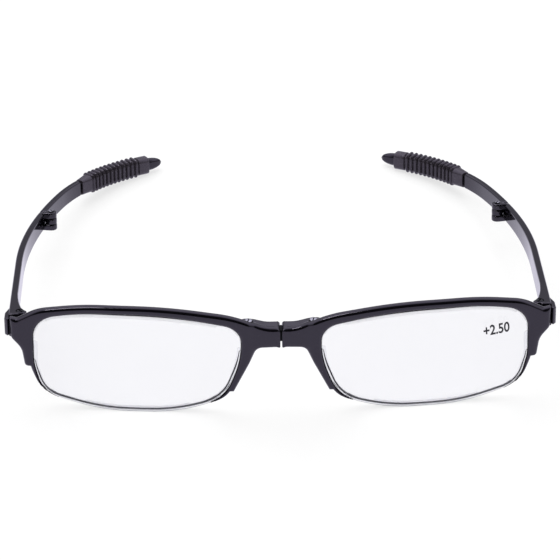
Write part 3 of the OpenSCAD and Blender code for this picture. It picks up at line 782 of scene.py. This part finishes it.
def addTempleRear(name, side):
    at = hingePlace(side)
    blade = newBlade("blade", bandOutline(bends["fold"] + foldGap, bends["gripFrom"]), at)
    start, end, count = bends["gripFrom"] - coreSize["into"], bends["gripTo"], coreSize["count"]
    thick, tall, radius = noseSize["thick"], noseSize["tall"], noseSize["round"]
    rings = []
    for step in range(coreSize["rings"] + 1):
        bend = start + step * (end - start) / coreSize["rings"]
        rings.append(earRing(bend, coreSize["thick"], coreSize["tall"], coreSize["round"], count))
    rings.append(earRing(end, thick, tall, radius, count, noseSize["from"]))
    for step in range(1, noseSize["rings"] + 1):
        share = step / noseSize["rings"]
        shrink = math.sqrt(max(noseSize["blunt"], 1 - share ** 2))
        ahead = noseSize["long"] * share
        rings.append(earRing(end, thick * shrink, tall * shrink, radius * shrink, count, ahead))
    core = sweep("core", rings, "plastic", at)
    piece = joined(f"{name}_temple_end", [blade, core])
    evenShading(piece)
    fasten(piece, f"{name}_temple_rear", f"{name}_tip")


def addGrip(name, side):
    size = gripSize
    start, end = bends["gripFrom"] + size["mouthGap"], bends["gripTo"]
    collar = bends["gripFrom"] + size["collar"]
    pitch = (end - size["end"] - collar) / size["ribs"]
    profile = [(start + ahead, out) for ahead, out in size["mouthEdge"]]
    profile.append((collar - size["ribGap"], 0.0))
    for rib in range(size["ribs"]):
        for part in range(size["ribParts"]):
            share = part / size["ribParts"]
            rise = 0
            if share < size["ribShare"]:
                rise = math.sqrt(math.sin(math.pi * share / size["ribShare"]))
            out = size["groove"] + (size["rib"] - size["groove"]) * rise
            profile.append((collar + (rib + share) * pitch, out))
    profile.append((collar + size["ribs"] * pitch + size["endGap"], 0.0))
    profile += [(end + ahead, out) for ahead, out in size["endEdge"]]
    rings = []
    for bend, out in profile:
        share = min(1, (bend - start) / (collar - start))
        thick = size["mouthThick"] + share * (size["thick"] - size["mouthThick"]) + 2 * out
        tall = size["mouthTall"] + share * (size["tall"] - size["mouthTall"]) + 2 * out
        rings.append(earRing(bend, thick, tall, min(size["round"], thick / 3), size["count"]))
    boreThick, boreTall = coreSize["thick"] + size["play"], coreSize["tall"] + size["play"]
    for step in range(size["boreRings"] + 1):
        bend = end - step * (end - start) / size["boreRings"]
        rings.append(earRing(bend, boreThick, boreTall, coreSize["round"], size["count"]))
    piece = sweep(f"{name}_grip_rubber", rings, "rubber", hingePlace(side), True)
    fasten(piece, f"{name}_grip_sleeve", f"{name}_tip")


for name, side in sides.items():
    addTempleFront(name, side)
    addTempleRear(name, side)
    addGrip(name, side)
print("temples made")


# Metal pieces: screws, bridge link and the leaves of the folds

screwSize = {"shank": 0.5, "core": 0.02, "chamfer": 0.1, "tall": 0.6, "count": 40,
             "brim": 0.04, "brimTall": 0.05, "dome": ((0.0, 0.55), (0.06, 0.75), (0.2, 0.9)),
             "crown": 0.5, "crownRise": 0.98, "slot": 0.3, "slotLong": 4.0, "deep": 0.3, "clear": 2.0}
# a top look of paintedGlint paints a glint on the screw head
bridgeScrew = {"low": 18.1, "seat": headZ, "head": 1.05, "turn": 75, "top": "paintedGlint"}
hingeScrew = {"low": -2.47, "seat": 2.4, "head": 1.05, "turn": 60, "top": "steel"}
foldScrew = {"low": -2.4, "seat": 2.13, "head": 0.8, "turn": 40, "top": "paintedGlint"}
leafSize = {"round": 0.3, "step": 0.3, "grid": 1.0, "neck": 1.4, "inside": 2.35, "face": 1.5,
            "proud": -0.05, "thick": 0.6, "long": 3.4, "split": 0.15, "half": 2.0,
            "barrel": 1.4, "count": 31, "middle": 0.783, "clear": 0.833, "top": 2.4}


def addScrew(piece, node, body, size, at, turn):
    low, seat, head = size["low"], size["seat"], size["head"]
    shank, core, chamfer = screwSize["shank"], screwSize["core"], screwSize["chamfer"]
    tall, count = screwSize["tall"], screwSize["count"]
    profile = [(core, low), (shank - chamfer, low), (shank, low + chamfer), (shank, seat),
               (head - screwSize["brim"], seat), (head, seat + screwSize["brimTall"])]
    profile += [(head - inset, seat + rise * tall) for inset, rise in screwSize["dome"]]
    profile += [(screwSize["crown"] * head, seat + screwSize["crownRise"] * tall), (core, seat + tall)]
    walls = (len(profile) - 1) * count
    # the painted glint goes on the two upper rings and the cap
    paintedGlint = [*range(walls - 2 * count, walls), walls + 1]  # the two upper rings and the cap
    screw = lathe(piece, profile, "steel", at, count, {size["top"]: paintedGlint})
    reach = Matrix.Rotation(math.radians(turn), 2)
    long, wide = screwSize["slotLong"] / 2, screwSize["slot"] / 2
    corners = [reach @ corner for corner in box((-long, -wide), (long, wide))]
    bottom, above = seat + tall - screwSize["deep"], seat + screwSize["clear"]
    slot = plate("slot", corners, level(bottom), level(above), toolSize, "steel", at)
    combine(screw, slot, "DIFFERENCE")
    fasten(screw, node, body)


def addLink():
    outline = arcPoints(pivotSize["x"], pivotSize["y"], linkSize["radius"], -90, 90)
    outline += arcPoints(-pivotSize["x"], pivotSize["y"], linkSize["radius"], 90, 270)
    low, high = pivotSize["linkZ"] - linkSize["low"], pivotSize["linkZ"] + linkSize["high"]
    # the link's dull black is partly its own colour and partly painted shade of the slot
    link = plate("bridge_link_plate", outline, level(low), level(high), linkSize, "oxideSlotShade", upPlace(1))
    fasten(link, "bridge_link", "bridge")


def addLeaf(name, side, which, body, sign, levels):
    at = foldPlace(side)
    size = leafSize
    half = size["half"]
    near, far = size["split"], size["split"] + size["long"]
    x0, x1 = size["face"] - size["proud"], size["face"] + size["thick"]
    corners = [Vector((p.x, sign * p.y)) for p in box((x0, near), (x1, far))]
    parts = [plate("leaf", corners, level(-half), level(half), size, "enamel", at)]
    points = arcPoints(0, 0, size["barrel"], 0, 360, size["count"])[:-1]
    points += [Vector((x0, near)), Vector((x1, near + size["neck"]))]
    outline = [Vector((points[i].x, sign * points[i].y)) for i in convex_hull_2d(points)]
    for low, high in levels:
        parts.append(plate("knuckle", outline, level(low), level(high), size, "enamel", at))
    leaf = joined(f"{name}_fold_{which}", parts)
    fasten(leaf, f"{name}_fold_hinge_{which}_leaf", body)


addLink()
clear, top, middle = leafSize["clear"], leafSize["top"], leafSize["middle"]
for name, side in sides.items():
    addScrew(f"{name}_bridge_pin", f"{name}_bridge_screw", f"{name}_front", bridgeScrew,
             upPlace(side, pivotSize["x"], pivotSize["y"]), bridgeScrew["turn"] * side)
    addScrew(f"{name}_hinge_pin", f"{name}_hinge_screw", f"{name}_temple", hingeScrew,
             hingePlace(side), hingeScrew["turn"])
    addScrew(f"{name}_fold_pin", f"{name}_fold_screw", f"{name}_temple", foldScrew,
             foldPlace(side), foldScrew["turn"])
    addLeaf(name, side, "front", f"{name}_temple", -1, [(clear, top), (-top, -clear)])
    addLeaf(name, side, "rear", f"{name}_tip", 1, [(-middle, middle)])
print("metal pieces made")


# Studio: white floor that keeps the shadow, soft light, white surround with a dark side behind the camera

# its lengths are in metres
studio = {"floor": 3.0, "drop": 0.00002, "paper": "#f7f7f7", "white": "#ffffff", "tint": "#f1eeff",
          "shine": 1.15, "glow": 0.68, "fill": 0.7,
          "panel": 1.6, "panelAt": (-0.25, 0.65, 1.25), "power": 18.0,
          "darkAlong": (0.0, -0.72, 0.69), "darkFrom": 0.4, "darkTo": 0.78, "darkLevel": 0.02,
          "riseFrom": 0.15, "riseTo": 0.6, "lowLevel": 0.35, "highLevel": 1.5,
          "lamp": (0.12, 0.4), "lampPower": 3.0, "lampAt": (-0.36, 0.05, 1.03)}


def seenRays(tree):
    rays = addNode(tree, "ShaderNodeLightPath")
    seen = addNode(tree, "ShaderNodeMath", {"operation": "MAXIMUM"}, {
        0: rays.outputs["Is Camera Ray"], 1: rays.outputs["Is Transmission Ray"]})
    mirrored = addNode(tree, "ShaderNodeMath", {"operation": "SUBTRACT", "use_clamp": True}, {
        0: rays.outputs["Is Glossy Ray"], 1: rays.outputs["Is Transmission Ray"]})
    return seen.outputs[0], mirrored.outputs[0]


def mixed(tree, share, first, second):
    node = addNode(tree, "ShaderNodeMixShader", inputs={"Fac": share, 1: first, 2: second})
    return node.outputs[0]


def shining(tree, kind, tint, strength):
    node = addNode(tree, kind, inputs={"Color": colour(tint), "Strength": strength})
    return node.outputs[0]


def addFloor():
    half = studio["floor"] / 2
    mesh = bpy.data.meshes.new("floor")
    corners = [(-half, -half, 0), (half, -half, 0), (half, half, 0), (-half, half, 0)]
    mesh.from_pydata(corners, [], [(0, 1, 2, 3)])
    floor = bpy.data.objects.new("floor", mesh)
    floor.location.z = -studio["drop"]
    bpy.context.scene.collection.objects.link(floor)
    paper = bpy.data.materials.new("white sweep paper")
    paper.use_nodes = True
    tree = paper.node_tree
    tree.nodes.clear()
    seen, mirrored = seenRays(tree)
    matte = addNode(tree, "ShaderNodeBsdfDiffuse", inputs={"Color": colour(studio["paper"])})
    glow = shining(tree, "ShaderNodeEmission", studio["white"], 1.0)
    shine = shining(tree, "ShaderNodeEmission", studio["tint"], studio["shine"])
    share = addNode(tree, "ShaderNodeMath", {"operation": "MULTIPLY"}, {0: seen, 1: studio["glow"]})
    lit = mixed(tree, share.outputs[0], matte.outputs[0], glow)
    addNode(tree, "ShaderNodeOutputMaterial", inputs={"Surface": mixed(tree, mirrored, lit, shine)})
    mesh.materials.append(paper)


def addWorld():
    world = bpy.data.worlds.new("studio")
    world.use_nodes = True
    bpy.context.scene.world = world
    tree = world.node_tree
    tree.nodes.clear()
    seen, mirrored = seenRays(tree)
    space = addNode(tree, "ShaderNodeTexCoord").outputs["Generated"]
    facing = addNode(tree, "ShaderNodeVectorMath", {"operation": "DOT_PRODUCT"}, {
        0: space, 1: Vector(studio["darkAlong"]).normalized()})
    dark = addNode(tree, "ShaderNodeMapRange", {"interpolation_type": "SMOOTHSTEP"}, {
        "Value": facing.outputs["Value"], "From Min": studio["darkFrom"], "From Max": studio["darkTo"],
        "To Min": 1.0, "To Max": studio["darkLevel"]})
    height = addNode(tree, "ShaderNodeSeparateXYZ", inputs={"Vector": space})
    rise = addNode(tree, "ShaderNodeMapRange", {"interpolation_type": "SMOOTHSTEP"}, {
        "Value": height.outputs["Z"], "From Min": studio["riseFrom"], "From Max": studio["riseTo"],
        "To Min": studio["lowLevel"], "To Max": studio["highLevel"]})
    strength = addNode(tree, "ShaderNodeMath", {"operation": "MULTIPLY"}, {
        0: dark.outputs["Result"], 1: rise.outputs["Result"]})
    wall = shining(tree, "ShaderNodeBackground", studio["tint"], strength.outputs[0])
    fill = shining(tree, "ShaderNodeBackground", studio["white"], studio["fill"])
    white = shining(tree, "ShaderNodeBackground", studio["white"], 1.0)
    around = mixed(tree, mirrored, fill, wall)
    addNode(tree, "ShaderNodeOutputWorld", inputs={"Surface": mixed(tree, seen, around, white)})


def addLight(name, power, at):
    data = bpy.data.lights.new(name, "AREA")
    data.energy = power
    light = bpy.data.objects.new(name, data)
    light.location = at
    light.rotation_euler = (-light.location).to_track_quat("-Z", "Y").to_euler()
    bpy.context.scene.collection.objects.link(light)
    return light


addFloor()
addWorld()
panel = addLight("soft panel", studio["power"], studio["panelAt"])
panel.data.size = studio["panel"]
panel.visible_glossy = False  # the surround gives the reflections
lamp = addLight("small lamp", studio["lampPower"], studio["lampAt"])
lamp.data.shape = "RECTANGLE"
lamp.data.size, lamp.data.size_y = studio["lamp"]
lamp.visible_diffuse = False  # it only gives the edges and screws their glints
bpy.context.scene.view_settings.view_transform = "Standard"
print("studio made")
